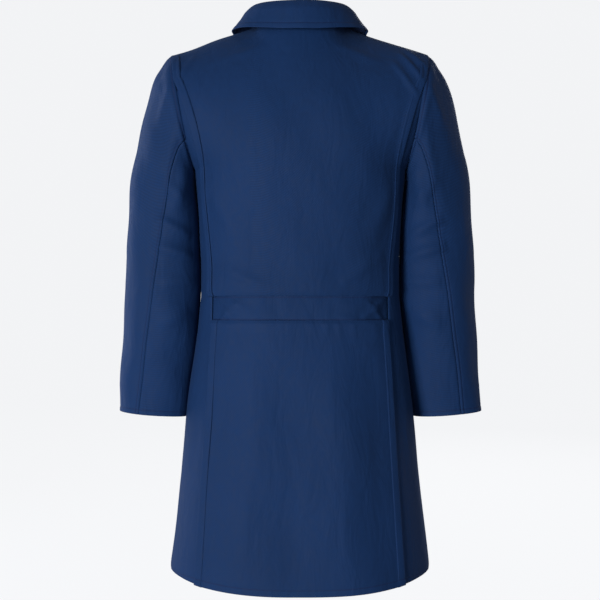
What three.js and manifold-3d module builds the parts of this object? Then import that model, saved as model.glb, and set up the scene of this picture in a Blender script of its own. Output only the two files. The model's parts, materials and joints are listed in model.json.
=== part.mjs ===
// A knee-length lab coat: action back, inset back waistband, two-piece sleeves, snap front.
// Millimetres, +Z up. The wearer faces +Y and the coat's back faces -Y.
// The origin is on the back neck seam, where the hanger loop is sewn.
import * as THREE from 'three';
import { mergeVertices } from 'three/addons/utils/BufferGeometryUtils.js';
import Module from 'manifold-3d';

const wasm = await Module();
wasm.setup();

// ---- driving dimensions: heights run down from the back neck seam ----
const coatLength = 991;
const tailDrop = 15;
const armpitDepth = 262;
const waistDepth = 494;
const waistbandHeight = 45;
const bandLift = -1.3;
const liningInset = 14;
const ventLength = 190;

const neckHalfWidth = 78;
const neckPointRise = 14;
const shoulderHalfWidth = 237;
const shoulderDrop = 45;
const chestHalfWidth = 197;
const waistHalfWidth = 184;
const hemHalfWidth = 240;

const neckBackDepth = 62;
const bodyCentreY = neckBackDepth;
const backChestDepth = 130;
const backWaistDepth = 118;
const backHemDepth = 178;
const frontChestDepth = 112;
const frontWaistDepth = 106;
const frontHemDepth = 150;
const armholeBackDepth = 88;
const armholeFrontDepth = 78;
const sectionPower = 2.4;

// ---- cloth and seams ----
const cloth = 1.2;
const seamGap = 0.35;
const layerGap = 0.8;
const pleatGap = 1.95;
const cuffLayerGap = 2;
const ventGap = 3;
const armholeGap = 0.45;

// ---- back: action pleats and skirt folds ----
const pleatTop = 0.36;
const pleatArmpitX = 180;
const pleatWaistX = 163;
const pleatUnderlap = 22;
const pleatRelease = 120;
const bandMargin = 16;
const skirtTopX = 158;
const skirtHemX = 183;
const waistbandEndX = 164;
const waistbandEndGap = 5;

// ---- front: overlap, turned corners, snaps ----
const frontOverlap = 18;
const frontRise = 30;
const snapSpace = 3.4;
const foldStartDepth = 535;
const cornerWidth = 148;
const foldGap = 1.2;
const lapelWidth = 84;
const lapelTop = 0.4;
const snapTopDepth = 300;
const snapPitch = 110;
const snapCount = 5;
const snapCapRadius = 6.5;
const snapFlangeRadius = 5.5;
const snapPostRadius = 2;
const snapCapHeight = 1.6;
const snapFlange = 0.8;
const snapClearance = 0.6;

// ---- collar ----
const standHeight = 36;
const fallBackDrop = 14;
const collarEndDrop = 62;

// ---- sleeves ----
const cuffOuterX = 340;
const cuffInnerX = 213;
const cuffDepth = 714;
const cuffTilt = 10;
const cuffHalfDepth = 45;
const cuffForward = 8;
const elbowHalfDepth = 62;
const cuffFacingShare = 0.05;

// ---- pockets ----
const chestPocketWidth = 105;
const chestPocketHeight = 130;
const chestPocketTopDepth = 285;
const chestPocketInnerX = 48;
const sidePocketHeight = 180;
const sidePocketTopDepth = 600;
const sidePocketInnerX = 78;
const sidePocketOuterX = 172;
const pocketFullness = 12;

// neck seam, lapels, collar and hanger loop
const neckShare = 0.36;
const vBreak = 0.97;
const lapelPoint = 0.03;
const lapelSeamGap = 0.3;
const collarSideShare = 0.5;
const collarSeamLift = 1.2;
const collarGap = 1.6;
const collarInset = 0.03;
const underCollarInset = 0.03;
const collarRollStart = 0.04;
const fallReachBack = 20;
const fallReachSide = 44;
const fallReachFront = 40;
const fallSideHeight = 2;
const fallFrontExtra = 14;
const rollShare = 0.25;
const rollOut = 5;
const rollUp = 3;
const standLeanBack = 4;
const standLeanFront = 2;
const standEndShare = 0.45;
const standSettle = 0.4;
const loopHalfWidth = 32;
const loopDrop = 14;
const loopTape = 7;
const loopTapeHalf = 0.6;
const loopSag = 4;
const loopInset = 3;
const loopEndZ = -4;

// sleeve lines: how far out and down from the shoulder tip, or from the armpit, they pass
const sleeveCapOut = 34;
const sleeveCapDrop = 48;
const upperArmOut = 66;
const upperArmDrop = 164;
const elbowOuterX = 327;
const elbowOuterDepth = 450;
const underarmGap = 0.8;
const underarmDrop = 3;
const innerArmTopDrop = 38;
const innerArmLowDrop = 90;
const elbowInnerDepth = 460;
const forearmInnerDepth = 570;
const elbowShare = 0.75;
const forwardFrom = 0.4;

const { cos, sin, PI, min, max, abs, sign, round } = Math;
const V = (x, y, z) => new THREE.Vector3(x, y, z);
const lerp = THREE.MathUtils.lerp;
const clamp = THREE.MathUtils.clamp;
const smooth = THREE.MathUtils.smoothstep;

const armpitZ = -armpitDepth;
const waistZ = -waistDepth;
const hemZ = -coatLength;

// ---- body form: one closed surface, u runs round from the centre back, v down from the neck ----
// From the armpit to the waist the coat draws in; from the waist to the hem it widens in a straight line.
function downBody(z, chest, waist, hem) {
  if (z > waistZ) {
    const t = (armpitZ - z) / (armpitZ - waistZ);
    return waist + (chest - waist) * (1 - t) ** 2;
  }
  return lerp(waist, hem, (waistZ - z) / (waistZ - hemZ));
}
const halfWidth = (z) => downBody(z, chestHalfWidth, waistHalfWidth, hemHalfWidth);
const backDepth = (z) => downBody(z, backChestDepth, backWaistDepth, backHemDepth);
const frontDepth = (z) => downBody(z, frontChestDepth, frontWaistDepth, frontHemDepth);

const vAtZ = (z) => 1 + (armpitZ - z) / (armpitZ - hemZ);
const zAtV = (v) => lerp(armpitZ, hemZ, v - 1);

// A horizontal section below the armpit; u is 0 at the centre back, 1 at the side, 2 at the centre front.
function section(u, v) {
  const z = zAtV(v);
  const angle = u * PI / 2;
  const c = cos(angle);
  const depth = c > 0 ? backDepth(z) : frontDepth(z);
  const x = halfWidth(z) * abs(sin(angle)) ** (2 / sectionPower);
  const y = -depth * sign(c) * abs(c) ** (2 / sectionPower);
  const tail = c > 0 ? tailDrop * c * c * max(0, (v - 1.4) / 0.6) ** 2 : 0;
  return V(x, y, z - tail);
}
const uAtX = (x, z) => (2 / PI) * Math.asin(clamp(x / halfWidth(z), 0, 1) ** (sectionPower / 2));
const uFrontAtX = (x, z) => 2 - uAtX(x, z);

const neckPoint = V(neckHalfWidth, 0, neckPointRise);
const shoulderTip = V(shoulderHalfWidth, 0, -shoulderDrop);
const armpit = V(chestHalfWidth, 0, armpitZ);

// The armhole is an oval from the shoulder tip (a = 0) down to the armpit (a = PI).
function armhole(a, depth) {
  const point = shoulderTip.clone().lerp(armpit, (1 - cos(a)) / 2);
  point.y = depth * sin(a);
  return point;
}
function neckBack(t) {
  const a = t * PI / 2;
  return V(neckHalfWidth * sin(a), -neckBackDepth * cos(a), neckPointRise * (1 - cos(a)));
}
function necklineEdge(v) {
  const x = neckHalfWidth * (1 - v);
  return V(x, frontChestDepth * sin(v * PI / 2) ** 0.9, lerp(neckPointRise, armpitZ, v));
}
// A surface filled in between four edges: top and bottom along s, start and end along t.
function fillEdges(top, bottom, start, end, s, t) {
  const corners = top(0).multiplyScalar((1 - s) * (1 - t))
    .add(top(1).multiplyScalar(s * (1 - t)))
    .add(bottom(0).multiplyScalar((1 - s) * t))
    .add(bottom(1).multiplyScalar(s * t));
  return top(s).multiplyScalar(1 - t)
    .add(bottom(s).multiplyScalar(t))
    .add(start(t).multiplyScalar(1 - s))
    .add(end(t).multiplyScalar(s))
    .sub(corners);
}
const backTop = (s) => (s < neckShare
  ? neckBack(s / neckShare)
  : neckPoint.clone().lerp(shoulderTip, (s - neckShare) / (1 - neckShare)));
const backCentre = (t) => V(0, -lerp(neckBackDepth, backChestDepth, sin(t * PI / 2) ** 0.9), armpitZ * t);
const backArmhole = (t) => armhole(t * PI, -armholeBackDepth);
const frontShoulder = (s) => shoulderTip.clone().lerp(neckPoint, s);
const frontArmhole = (t) => armhole(t * PI, armholeFrontDepth);

function body(u, v) {
  const wrapped = u > 2 ? u - 4 : u < -2 ? u + 4 : u;
  const w = abs(wrapped);
  let point;
  if (v >= 1) point = section(w, v);
  else if (w <= 1) point = fillEdges(backTop, (s) => section(s, 1), backCentre, backArmhole, w, v);
  else point = fillEdges(frontShoulder, (s) => section(1 + s, 1), frontArmhole, necklineEdge, w - 1, v);
  if (wrapped < 0) point.x = -point.x;
  return point;
}

// ---- thin solids ----
function toGeometry(positions, indices) {
  const geometry = new THREE.BufferGeometry();
  geometry.setAttribute('position', new THREE.Float32BufferAttribute(positions, 3));
  geometry.setIndex(indices);
  return geometry;
}
function signedVolume(positions, indices) {
  let volume = 0;
  const at = (i) => V(positions[3 * i], positions[3 * i + 1], positions[3 * i + 2]);
  for (let i = 0; i < indices.length; i += 3) {
    volume += at(indices[i]).dot(at(indices[i + 1]).cross(at(indices[i + 2])));
  }
  return volume;
}
// A sheet of cloth: surface(s, t) for s and t in 0..1, raised by lift and given a thickness along its normal.
// outward points from the surface to the outside of the garment.
function sheet(surface, columns, rows, outward, lift = 0, thickness = cloth) {
  const inner = [];
  const outer = [];
  const step = 1e-3;
  for (let j = 0; j <= rows; j += 1) {
    for (let i = 0; i <= columns; i += 1) {
      const s = i / columns;
      const t = j / rows;
      const p = surface(s, t);
      const across = surface(min(1, s + step), t).sub(surface(max(0, s - step), t));
      const along = surface(s, min(1, t + step)).sub(surface(s, max(0, t - step)));
      const normal = across.cross(along).normalize();
      if (normal.dot(outward(p, s, t)) < 0) normal.negate();
      inner.push(p.clone().addScaledVector(normal, lift));
      outer.push(p.clone().addScaledVector(normal, lift + thickness));
    }
  }
  const count = inner.length;
  const positions = [...inner, ...outer].flatMap((p) => [p.x, p.y, p.z]);
  const indices = [];
  const quad = (a, b, c, d) => indices.push(a, b, c, a, c, d);
  const at = (i, j) => j * (columns + 1) + i;
  for (let j = 0; j < rows; j += 1) {
    for (let i = 0; i < columns; i += 1) {
      quad(at(i, j), at(i, j + 1), at(i + 1, j + 1), at(i + 1, j));
      quad(count + at(i, j), count + at(i + 1, j), count + at(i + 1, j + 1), count + at(i, j + 1));
    }
  }
  const rim = [];
  for (let i = 0; i < columns; i += 1) rim.push(at(i, 0));
  for (let j = 0; j < rows; j += 1) rim.push(at(columns, j));
  for (let i = columns; i > 0; i -= 1) rim.push(at(i, rows));
  for (let j = rows; j > 0; j -= 1) rim.push(at(0, j));
  rim.forEach((a, k) => {
    const b = rim[(k + 1) % rim.length];
    quad(a, b, count + b, count + a);
  });
  if (signedVolume(positions, indices) < 0) {
    for (let i = 0; i < indices.length; i += 3) {
      [indices[i + 1], indices[i + 2]] = [indices[i + 2], indices[i + 1]];
    }
  }
  return toGeometry(positions, indices);
}
const fromBodyAxis = (p) => V(p.x * 0.6, p.y, 0).add(V(0, 0, p.z > -shoulderDrop * 2 ? 60 : 0));

// A body panel between two edges given as functions of v, each drawn in by a seam gap in millimetres.
function panel({ from, to, top, bottom, columns, rows, lift = 0, gaps = [seamGap, seamGap] }) {
  const inset = (edge, v, gap, direction) => {
    const u = edge(v);
    const probe = 0.01 * direction;
    const reach = body(u + probe, v).distanceTo(body(u, v));
    return u + probe * gap / reach;
  };
  const gapAt = (gap, v) => (typeof gap === 'function' ? gap(v) : gap);
  const surface = (s, t) => {
    const v = lerp(top, bottom, t);
    const direction = sign(to(v) - from(v));
    const a = inset(from, v, gapAt(gaps[0], v), direction);
    const b = inset(to, v, gapAt(gaps[1], v), -direction);
    return body(lerp(a, b, s), v);
  };
  return sheet(surface, columns, rows, fromBodyAxis, lift);
}

// ---- scene graph ----
const coat = new THREE.Group();
coat.position.set(0, bodyCentreY, 0);
const navy = '#1c3860';
const navyDark = '#162c50';
function add(name, geometry, color = navy, roughness = 0.85, metalness = 0) {
  const material = new THREE.MeshStandardMaterial({ color, roughness, metalness });
  const mesh = new THREE.Mesh(geometry, material);
  mesh.name = name;
  coat.add(mesh);
  return mesh;
}
function mirrored(geometry) {
  const copy = geometry.clone();
  copy.scale(-1, 1, 1);
  const index = Array.from(copy.getIndex().array);
  for (let i = 0; i < index.length; i += 3) [index[i + 1], index[i + 2]] = [index[i + 2], index[i + 1]];
  copy.setIndex(index);
  return copy;
}
function addPair(name, geometry, color) {
  add(`${name}_right`, geometry, color);
  add(`${name}_left`, mirrored(geometry), color);
}
const underLift = -(cloth + layerGap);

// ---- back ----
const shoulderStart = 0.006;
const vWaist = vAtZ(waistZ);
const vSkirtTop = vAtZ(waistZ - waistbandHeight);
function pleatEdge(v) {
  if (v >= 1) {
    const z = zAtV(v);
    return uAtX(lerp(pleatArmpitX, pleatWaistX, (v - 1) / (vWaist - 1)), z);
  }
  const low = uAtX(pleatArmpitX, armpitZ);
  return lerp(1, low, clamp((v - pleatTop) / (1 - pleatTop), 0, 1));
}
const skirtEdgeX = (v) => lerp(skirtTopX, skirtHemX, clamp((v - vSkirtTop) / (2 - vSkirtTop), 0, 1));
const skirtEdge = (v) => uAtX(skirtEdgeX(v), zAtV(v));
// The side panel runs on under each pleat, and is cut back to the end of the waistband at the waist.
function sideBackEdge(v) {
  const z = zAtV(max(v, 1));
  const edge = v < vWaist ? pleatEdge(v) : uAtX(v < vSkirtTop ? pleatWaistX : skirtEdgeX(v), z);
  const underPleat = edge - pleatUnderlap / (halfWidth(z) * PI / 2);
  const bandMiddle = waistZ - waistbandHeight / 2;
  const fromBand = abs(z - bandMiddle) - waistbandHeight / 2 - bandMargin;
  const besideBand = uAtX(waistbandEndX + waistbandEndGap, z);
  return lerp(besideBand, underPleat, smooth(fromBand, 0, pleatRelease));
}
const ventV = vAtZ(hemZ + ventLength);
const sideGap = (v) => (v > ventV ? ventGap : v < 1 ? armholeGap : seamGap);

const backColumns = 16;
const backRows = 12;
add('back_upper', panel({
  from: (v) => -pleatEdge(v), to: pleatEdge, top: shoulderStart, bottom: vWaist,
  columns: backColumns, rows: backRows,
}));
addPair('side_back', panel({
  from: sideBackEdge, to: () => 1, top: pleatTop + 0.06, bottom: 2, columns: 4, rows: 22,
  lift: -(cloth + pleatGap), gaps: [0, sideGap],
}), navyDark);
// The waistband sits a little inside the panels above and below it, with a narrower lining behind.
const bandPanel = (endX, lift) => panel({
  from: (v) => -uAtX(endX, zAtV(v)), to: (v) => uAtX(endX, zAtV(v)),
  top: vAtZ(waistZ - seamGap), bottom: vAtZ(waistZ - waistbandHeight + seamGap),
  columns: 16, rows: 2, lift,
});
add('back_waistband', bandPanel(waistbandEndX, bandLift), navyDark);
add('waistband_lining', bandPanel(waistbandEndX - liningInset, bandLift + underLift - 0.1), navyDark);
add('back_skirt', panel({
  from: (v) => -skirtEdge(v), to: skirtEdge, top: vSkirtTop, bottom: 2, columns: 14, rows: 10,
}));
const facingColumns = 6;
const facingEdge = facingColumns / backColumns;
const facingBottom = shoulderStart + 2 * (vWaist - shoulderStart) / backRows;
add('neck_facing', panel({
  from: () => -facingEdge, to: () => facingEdge, top: shoulderStart, bottom: facingBottom,
  columns: facingColumns, rows: 2, lift: underLift, gaps: [0, 0],
}), navyDark);

// ---- fronts: the left front laps over the right; each lower corner turns out on a slanting fold ----
const underFrontLift = -(cloth + snapSpace);
const foldStarts = { left: foldStartDepth };
foldStarts.right = foldStartDepth + (coatLength - foldStartDepth) * 2 * frontOverlap / cornerWidth;
function foldX(z, side) {
  const start = -foldStarts[side];
  return frontOverlap - cornerWidth * clamp((start - z) / (start - hemZ), 0, 1);
}
function freeEdgeX(z) {
  return frontOverlap * smooth(armpitZ - z, 0, frontRise);
}
// The right front runs u = 1..2 and on past the centre; the left front is its mirror image.
const uPastCentre = (x, z) => (x >= 0 ? 2 + uAtX(x, z) : 2 - uAtX(-x, z));
const staticEdge = (side) => (v) => {
  if (v < 1) return 2;
  const z = zAtV(v);
  return uPastCentre(min(freeEdgeX(z), foldX(z, side)), z);
};
function cornerPanel(side, lift) {
  const start = vAtZ(-foldStarts[side] - 12);
  return panel({
    from: (v) => uPastCentre(foldX(zAtV(v), side), zAtV(v)),
    to: (v) => uPastCentre(frontOverlap, zAtV(v)),
    top: start, bottom: 2, columns: 5, rows: 8, lift, gaps: [foldGap, 0],
  });
}
// The rows stay short enough for snaps and collar to clear the flat facets, whatever the coat's length.
const frontRowHeight = 50;
const chestRowHeight = 13.1;
const frontRows = max(round(coatLength / frontRowHeight), round(armpitDepth / chestRowHeight));
function frontPanel(side, lift) {
  const atSide = (v) => (v > ventV ? ventGap : v < 1 ? armholeGap : seamGap);
  return panel({
    from: () => 1, to: staticEdge(side), top: shoulderStart, bottom: 2, columns: 9, rows: frontRows, lift,
    gaps: [atSide, 0],
  });
}
const vectorOnFront = (x, z) => body(uPastCentre(-x, z), vAtZ(z));

// ---- snaps: a capped socket through the left front faces a stud through the right front ----
function solidFrom(geometry) {
  const bare = geometry.clone();
  bare.deleteAttribute('normal');
  bare.deleteAttribute('uv');
  const merged = mergeVertices(bare);
  return new wasm.Manifold(new wasm.Mesh({
    numProp: 3,
    vertProperties: Float32Array.from(merged.attributes.position.array),
    triVerts: Uint32Array.from(merged.index.array),
  }));
}
function geometryFrom(solid) {
  const mesh = solid.getMesh();
  return toGeometry(Array.from(mesh.vertProperties), Array.from(mesh.triVerts));
}
function onSnapAxis(geometry, z) {
  const y = vectorOnFront(0, z).y;
  geometry.rotateX(frontSlope(z));
  geometry.translate(0, y, z);
  return geometry;
}
function frontSlope(z) {
  const above = vectorOnFront(0, z + 5);
  const below = vectorOnFront(0, z - 5);
  return Math.atan2(below.y - above.y, above.z - below.z);
}
const snapDepths = Array.from({ length: snapCount }, (_, i) => snapTopDepth + i * snapPitch);
const holeRadius = snapPostRadius + snapClearance;
function pierced(geometry, depths) {
  let solid = solidFrom(geometry);
  for (const depth of depths) {
    const drill = onSnapAxis(new THREE.CylinderGeometry(holeRadius, holeRadius, 30, 10), -depth);
    solid = solid.subtract(solidFrom(drill));
  }
  return geometryFrom(solid);
}
const spool = (outline) => new THREE.LatheGeometry(outline.map(([r, y]) => new THREE.Vector2(r, y)), 12);
// Heights along the snap's axis: 0 is the inner face of the left front's cloth.
function socketOutline() {
  const capBottom = cloth + snapClearance;
  const capTop = capBottom + snapCapHeight;
  const flangeTop = -snapClearance;
  const flangeBottom = flangeTop - snapFlange;
  return [[0, flangeBottom], [snapFlangeRadius, flangeBottom], [snapFlangeRadius, flangeTop],
    [snapPostRadius, flangeTop], [snapPostRadius, capBottom], [snapCapRadius, capBottom],
    [snapCapRadius, lerp(capBottom, capTop, 0.5)], [snapCapRadius * 0.8, capTop], [0, capTop]];
}
function studOutline() {
  const faceTop = -snapSpace + snapClearance + snapFlange;
  const faceBottom = -snapSpace + snapClearance;
  const flangeTop = -snapSpace - cloth - snapClearance;
  const flangeBottom = flangeTop - snapFlange;
  return [[0, flangeBottom], [snapFlangeRadius, flangeBottom], [snapFlangeRadius, flangeTop],
    [snapPostRadius, flangeTop], [snapPostRadius, faceBottom], [snapFlangeRadius, faceBottom],
    [snapFlangeRadius, faceTop], [0, faceTop]];
}
const leftTurns = (depth) => foldX(-depth, 'left') < 0;
const rightTurns = (depth) => foldX(-depth, 'right') < 0;
const staysLeft = snapDepths.filter((depth) => !leftTurns(depth));
const staysRight = snapDepths.filter((depth) => !rightTurns(depth));
add('front_left', pierced(mirrored(frontPanel('left', 0)), staysLeft));
add('front_right', pierced(frontPanel('right', underFrontLift), staysRight), navyDark);
add('front_corner_left', pierced(mirrored(cornerPanel('left', 0)), snapDepths.filter(leftTurns)));
add('front_corner_right', pierced(
  cornerPanel('right', underFrontLift), snapDepths.filter(rightTurns)), navyDark);
snapDepths.forEach((depth, i) => {
  add(`snap_socket_${i + 1}`, onSnapAxis(spool(socketOutline()), -depth), '#2a3550', 0.35, 0.6);
  add(`snap_stud_${i + 1}`, onSnapAxis(spool(studOutline()), -depth), '#b9bcc0', 0.3, 0.9);
});

// ---- patch pockets: stitched down at the sides and foot, standing open at the mouth ----
function pocket(innerX, outerX, topDepth, height, frontLift) {
  const frontAt = (s, t) => {
    const z = -topDepth - height * t;
    return body(uFrontAtX(lerp(innerX, outerX, s), z), vAtZ(z));
  };
  const surface = (s, t) => {
    const p = frontAt(s, t);
    const slope = frontAt(min(1, s + 0.05), t).sub(frontAt(max(0, s - 0.05), t));
    const outward = V(-slope.y, slope.x, 0).multiplyScalar(sign(slope.x)).normalize();
    return p.addScaledVector(outward, pocketFullness * sin(PI * s) * (1 - t ** 3));
  };
  return sheet(surface, 8, 5, () => V(0, 1, 0), frontLift + cloth + layerGap);
}
const chestPocketOuterX = chestPocketInnerX + chestPocketWidth;
add('chest_pocket', mirrored(
  pocket(chestPocketInnerX, chestPocketOuterX, chestPocketTopDepth, chestPocketHeight, 0)));
const sidePocket = (frontLift) => pocket(
  sidePocketInnerX, sidePocketOuterX, sidePocketTopDepth, sidePocketHeight, frontLift);
add('side_pocket_left', mirrored(sidePocket(0)));
add('side_pocket_right', sidePocket(underFrontLift), navyDark);

// ---- lapels: turned back over the fronts, widest at the notch ----
function lapel(frontLift) {
  const width = (v) => lapelWidth * clamp((vBreak + lapelPoint - v) / (vBreak - lapelTop), lapelPoint, 1);
  return sheet((s, t) => {
    const v = lerp(lapelTop, vBreak, t);
    const probe = 0.02;
    const reach = body(2 - probe, v).distanceTo(body(2, v)) / probe;
    return body(2 - (s * width(v) + lapelSeamGap) / reach, v);
  }, 5, 8, fromBodyAxis, frontLift + cloth + layerGap);
}
add('lapel_left', mirrored(lapel(0)));
add('lapel_right', lapel(underFrontLift), navyDark);

// ---- collar: a stand on the neck seam and a two-layer fall that turns over it ----
// w runs from -1 at one end, over the back neck at 0, to 1 at the other end.
function neckSeam(w) {
  const a = abs(w);
  const point = a < collarSideShare
    ? neckBack(a / collarSideShare)
    : necklineEdge((a - collarSideShare) / (1 - collarSideShare) * collarEndShare);
  point.x *= sign(w) || 1;
  return point;
}
const collarEndShare = collarEndDrop / (neckPointRise + armpitDepth);
const awayFromNeck = (w) => {
  const p = neckSeam(w);
  return V(p.x / neckHalfWidth, p.y / neckBackDepth, 0).normalize();
};
const standTop = (w) => {
  const seam = neckSeam(w);
  const rise = standHeight * lerp(1, standEndShare, smooth(abs(w), collarSideShare, 1));
  const lean = abs(w) > collarSideShare ? standLeanFront : standLeanBack;
  return seam.clone().addScaledVector(awayFromNeck(w), lean).add(V(0, 0, rise - seam.z * standSettle));
};
const standInset = 0.02;
add('collar_stand', sheet((s, t) => {
  const w = lerp(standInset - 1, 1 - standInset, s);
  const foot = neckSeam(w).add(V(0, 0, collarSeamLift));
  return foot.lerp(standTop(w), t).addScaledVector(awayFromNeck(w), -cloth * t);
}, 28, 3, (p) => V(p.x, p.y, 0), -cloth), navyDark);

function fallEdge(w) {
  const a = abs(w);
  const side = smooth(a, 0.05, collarSideShare);
  const front = smooth(a, collarSideShare, 1);
  const reach = lerp(lerp(fallReachBack, fallReachSide, side), fallReachFront, front);
  const base = neckSeam(w).addScaledVector(awayFromNeck(w), reach);
  base.z = lerp(lerp(-fallBackDrop, fallSideHeight, side), -collarEndDrop - fallFrontExtra, front);
  return base;
}
// The fall rolls over the top of the stand in a short curve, then runs straight to its outer edge.
function fall(w, t, lift) {
  const foot = standTop(w);
  const edge = fallEdge(w);
  const out = awayFromNeck(w);
  const crest = foot.clone().addScaledVector(out, rollOut).add(V(0, 0, rollUp));
  const rollEnd = foot.clone().lerp(edge, 0.3).addScaledVector(out, rollOut);
  const curve = new THREE.QuadraticBezierCurve3(foot, crest, rollEnd);
  const point = t < rollShare
    ? curve.getPoint(t / rollShare)
    : rollEnd.clone().lerp(edge, (t - rollShare) / (1 - rollShare));
  const raised = lift * min(1, t / rollShare);
  return point.addScaledVector(out, raised).add(V(0, 0, lift * max(0, 1 - t * 2)));
}
const fallOutward = (p) => V(p.x, p.y, 0).normalize().add(V(0, 0, 1));
const collarLayer = (reach, lift) => sheet(
  (s, t) => fall(lerp(collarInset - 1, 1 - collarInset, s), lerp(collarRollStart, reach, t), lift),
  28, 5, fallOutward);
add('under_collar', collarLayer(1 - underCollarInset, collarGap), navyDark);
add('top_collar', collarLayer(1, collarGap + 2.2 * cloth + layerGap));

// ---- hanger loop inside the back neck ----
const loopEndY = -neckBackDepth * Math.sqrt(1 - (loopHalfWidth / neckHalfWidth) ** 2) + loopInset;
const loopRoute = new THREE.CatmullRomCurve3([
  V(-loopHalfWidth, loopEndY, loopEndZ), V(-loopHalfWidth * 0.6, loopEndY, -loopDrop),
  V(0, loopEndY + 1, -loopDrop - loopSag), V(loopHalfWidth * 0.6, loopEndY, -loopDrop),
  V(loopHalfWidth, loopEndY, loopEndZ)]);
const loopSection = new THREE.Shape([[-1, -1], [1, -1], [1, 1], [-1, 1]].map(
  ([x, y]) => new THREE.Vector2(x * loopTapeHalf, y * loopTape / 2)));
add('hanger_loop', new THREE.ExtrudeGeometry(loopSection, { steps: 12, extrudePath: loopRoute }), navyDark);

// ---- sleeves: sections between an outer line from the shoulder and an inner line from the armpit ----
// The sleeve's inner side hangs against the side of the body.
const besideBody = (z) => V(halfWidth(z) + 2 * cloth + underarmGap, 0, z);
const outerLine = new THREE.CatmullRomCurve3([
  V(shoulderHalfWidth + armholeGap, 0, -shoulderDrop - armholeGap),
  V(shoulderHalfWidth + sleeveCapOut, 0, -shoulderDrop - sleeveCapDrop),
  V(shoulderHalfWidth + upperArmOut, 0, -shoulderDrop - upperArmDrop),
  V(elbowOuterX, 0, -elbowOuterDepth), V(cuffOuterX, 0, -cuffDepth + cuffTilt / 2)]);
const innerLine = new THREE.CatmullRomCurve3([
  besideBody(armpitZ - underarmDrop), besideBody(armpitZ - innerArmTopDrop),
  besideBody(armpitZ - innerArmLowDrop), besideBody(-elbowInnerDepth), besideBody(-forearmInnerDepth),
  V(cuffInnerX, 0, -cuffDepth - cuffTilt / 2)]);
function sleeve(s, a) {
  const top = outerLine.getPoint(s);
  const bottom = innerLine.getPoint(s);
  const armDepth = sin(a) < 0 ? armholeFrontDepth : armholeBackDepth;
  const depth = s < elbowShare
    ? lerp(armDepth, elbowHalfDepth, smooth(s, 0, elbowShare))
    : lerp(elbowHalfDepth, cuffHalfDepth, smooth(s, elbowShare, 1));
  const point = top.clone().lerp(bottom, (1 - cos(a)) / 2);
  point.y = -depth * sin(a) + cuffForward * smooth(s, forwardFrom, 1);
  return point;
}
const degrees = PI / 180;
const backSeam = (s) => lerp(120, 70, s) * degrees;
const frontSeam = (s) => lerp(-125, -112, s) * degrees;
function sleevePanel(from, to, columns, rows, lift = 0, start = 0, end = 1) {
  const inset = (angle, s, direction) => {
    const reach = sleeve(s, angle + 0.01).distanceTo(sleeve(s, angle)) / 0.01;
    return angle + direction * seamGap / reach;
  };
  return sheet((p, t) => {
    const s = lerp(start, end, t);
    return sleeve(s, lerp(inset(from(s), s, 1), inset(to(s), s, -1), p));
  }, columns, rows, (p, i, t) => {
    const s = lerp(start, end, t);
    return p.clone().sub(sleeve(s, 0).lerp(sleeve(s, PI), 0.5));
  }, lift);
}
const wholeTurn = (s) => frontSeam(s) + 2 * PI;
addPair('top_sleeve', sleevePanel(frontSeam, backSeam, 9, 13));
addPair('under_sleeve', sleevePanel(backSeam, wholeTurn, 6, 13), navyDark);
addPair('cuff_facing', sleevePanel(() => -PI, () => PI, 24, 1, -(cloth + cuffLayerGap),
  1 - cuffFacingShare, 0.997), navyDark);

export default coat;
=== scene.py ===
import json
import math

import bmesh
import bpy
import numpy as np
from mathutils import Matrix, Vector

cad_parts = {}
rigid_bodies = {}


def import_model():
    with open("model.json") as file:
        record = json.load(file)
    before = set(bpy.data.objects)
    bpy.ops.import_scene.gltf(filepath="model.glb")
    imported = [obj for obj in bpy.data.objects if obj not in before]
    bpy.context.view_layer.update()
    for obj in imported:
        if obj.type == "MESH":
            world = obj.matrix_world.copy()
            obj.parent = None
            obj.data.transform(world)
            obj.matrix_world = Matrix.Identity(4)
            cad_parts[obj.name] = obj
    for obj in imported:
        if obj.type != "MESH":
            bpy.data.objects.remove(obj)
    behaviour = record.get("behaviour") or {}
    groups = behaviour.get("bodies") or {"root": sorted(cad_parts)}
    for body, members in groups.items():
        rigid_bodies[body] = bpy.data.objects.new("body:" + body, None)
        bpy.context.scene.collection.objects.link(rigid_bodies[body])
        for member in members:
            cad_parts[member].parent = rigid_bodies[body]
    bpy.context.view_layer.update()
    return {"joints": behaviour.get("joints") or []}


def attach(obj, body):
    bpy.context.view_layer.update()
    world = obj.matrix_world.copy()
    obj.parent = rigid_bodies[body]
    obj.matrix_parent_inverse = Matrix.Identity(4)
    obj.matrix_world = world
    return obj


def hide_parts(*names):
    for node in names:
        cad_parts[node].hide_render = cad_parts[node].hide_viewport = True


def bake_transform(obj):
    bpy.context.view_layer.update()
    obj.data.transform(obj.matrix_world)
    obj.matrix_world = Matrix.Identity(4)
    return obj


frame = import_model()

# ---- Centre back -----------------------------------------------------------------------------------
# The upper back is one panel of poly-cotton twill, cut from the collar seam to the waistband.
# Each side is pressed under in an action pleat that opens when the arms reach forward.

MM = 0.001
BODY_CENTRE_Y = 62
COAT_LENGTH = 991
TAIL_DROP = 15
ARMPIT_Z = -262
WAIST_Z = -494
WAISTBAND_HEIGHT = 45
NECK_HALF_WIDTH = 78
NECK_POINT_RISE = 14
NECK_BACK_DEPTH = 62
SECTION_POWER = 2.4
HALF_WIDTHS = (197, 184, 240)
BACK_DEPTHS = (130, 118, 178)
FRONT_DEPTHS = (112, 106, 150)
ARMHOLE_BACK_DEPTH = 88
ARMHOLE_FRONT_DEPTH = 78
NECK_SHARE = 0.36
NECK_POINT = np.array([NECK_HALF_WIDTH, 0, NECK_POINT_RISE], float)
SHOULDER_TIP = np.array([237, 0, -45], float)
ARMPIT = np.array([HALF_WIDTHS[0], 0, ARMPIT_Z], float)
HEM_Z = -COAT_LENGTH
PLEAT_TOP = 0.36
PLEAT_X = (180, 163)
PANEL_TOP = 0.006     # where a panel starts below the neck and shoulder seams, as a share of the armhole
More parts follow.
